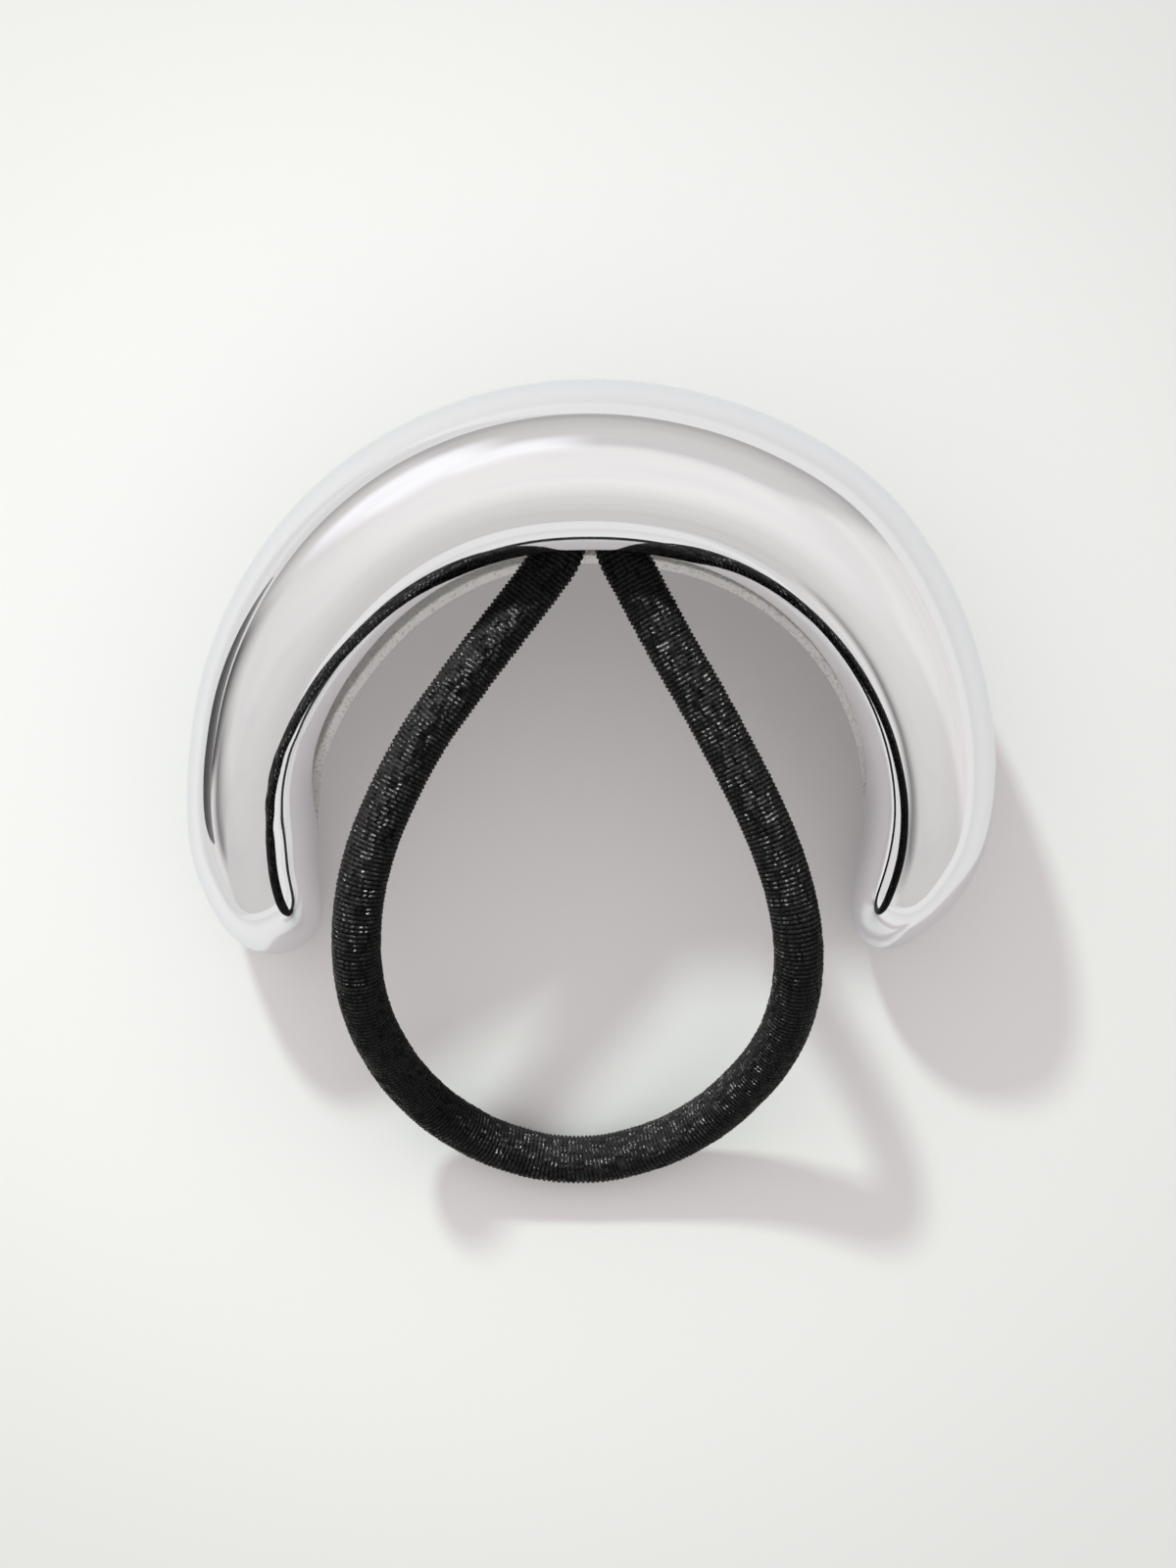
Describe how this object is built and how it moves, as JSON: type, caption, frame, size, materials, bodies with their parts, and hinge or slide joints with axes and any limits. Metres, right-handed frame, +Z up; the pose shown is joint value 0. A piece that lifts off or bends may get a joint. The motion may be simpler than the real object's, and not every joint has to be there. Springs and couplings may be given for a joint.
{
  "type": "hair tie",
  "caption": "Puffed C-shaped metal ponytail cuff, hollow and open along its inner side, with a round black elastic held in a teardrop loop behind its lips.",
  "frame": {"origin": "on the surface it lies on, under the middle of the cuff's own box, elastic left out", "axes": "+Z up along the ring's axis, +Y from the elastic loop towards the closed back of the cuff, +X across it to the right as seen from above"},
  "size_m": [0.0656, 0.0656, 0.032],
  "materials": {
    "polished_metal": "mirror-polished silver-tone plating, bare and rough on the cut inner lip and inside",
    "plain_metal": "plain unpolished silver-tone metal",
    "wound_thread": "black thread wound crosswise over a rubber core, with a slight glint"
  },
  "bodies": {
    "root": {"cuff": "polished_metal", "cross_bar": "plain_metal", "elastic": "wound_thread"}
  },
  "joints": []
}
